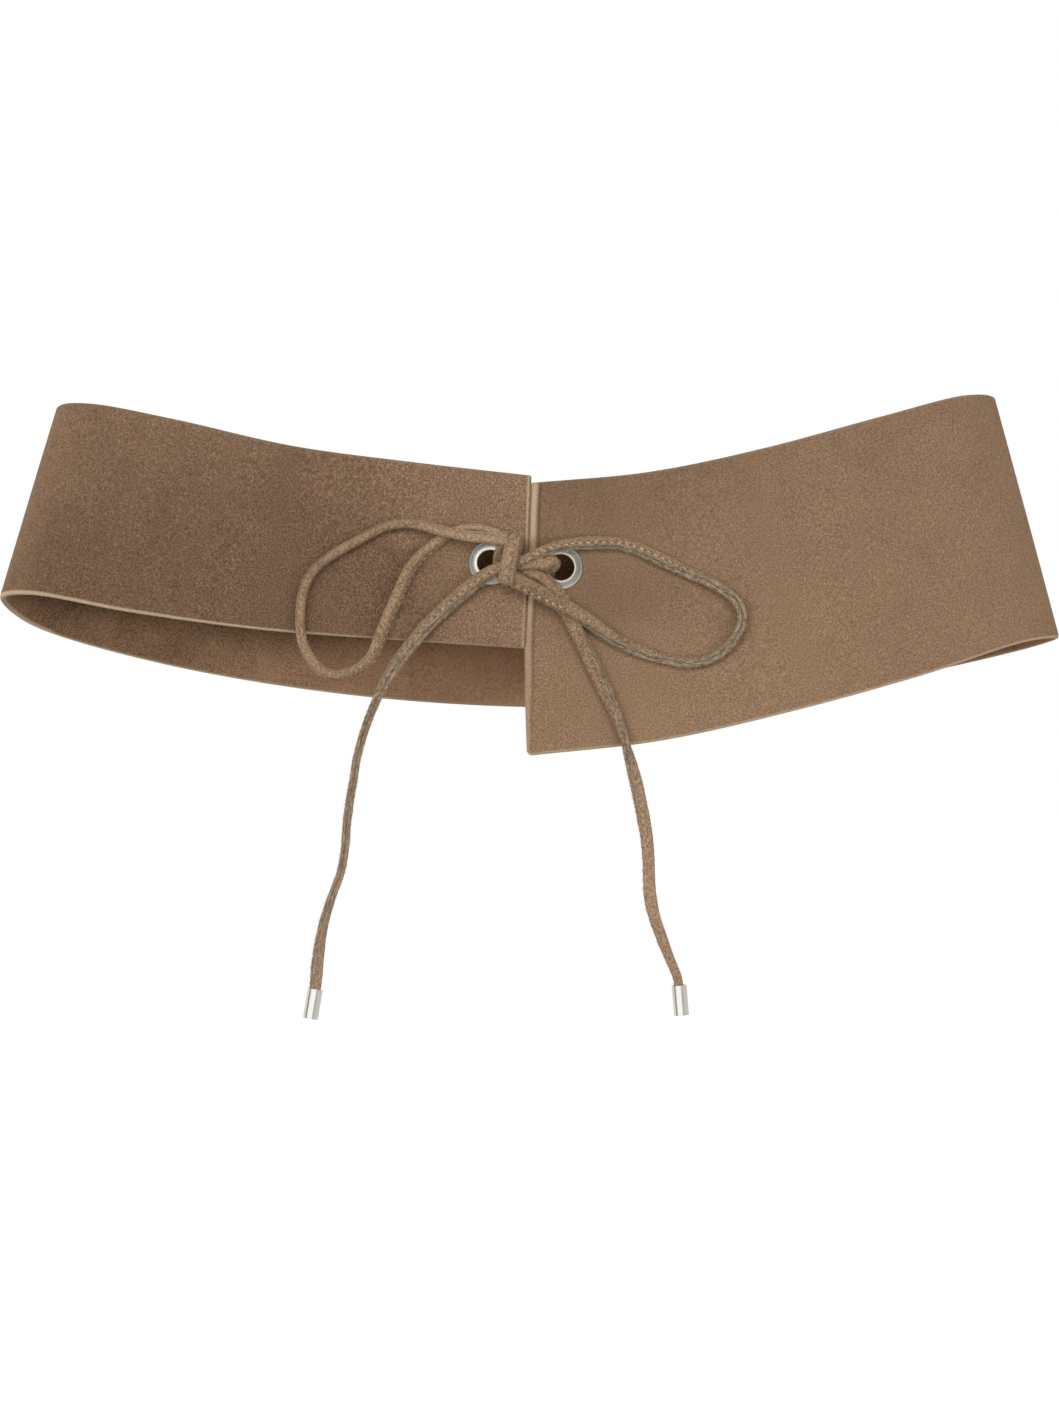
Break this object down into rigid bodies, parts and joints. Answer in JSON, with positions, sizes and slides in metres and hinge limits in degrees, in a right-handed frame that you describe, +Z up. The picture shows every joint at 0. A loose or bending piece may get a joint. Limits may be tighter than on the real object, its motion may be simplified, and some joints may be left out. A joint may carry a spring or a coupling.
{
  "type": "suede waist belt",
  "caption": "wide shaped suede waist belt, open at the front between two metal eyelets, closed by a suede lace tied in a bow with metal-tipped tails",
  "frame": {"origin": "middle of the waist hollow, level with the lace holes", "axes": "+Z up along the wearer's body, +X towards the right of the front view, -Y towards the front with the bow"},
  "size_m": [0.4953, 0.1073, 0.2869],
  "materials": {
    "suede": "napped taupe-brown suede",
    "lace_suede": "stitched suede cord",
    "eyelet_metal": "satin nickel",
    "tip_metal": "polished silver"
  },
  "bodies": {
    "root": {"belt_band": "suede", "eyelet_left": "eyelet_metal", "eyelet_right": "eyelet_metal", "lace_back": "lace_suede", "lace_knot": "lace_suede", "lace_loop_left": "lace_suede", "lace_loop_right": "lace_suede", "lace_tail_left": "lace_suede", "lace_tail_right": "lace_suede", "tip_left": "tip_metal", "tip_right": "tip_metal"}
  },
  "joints": []
}
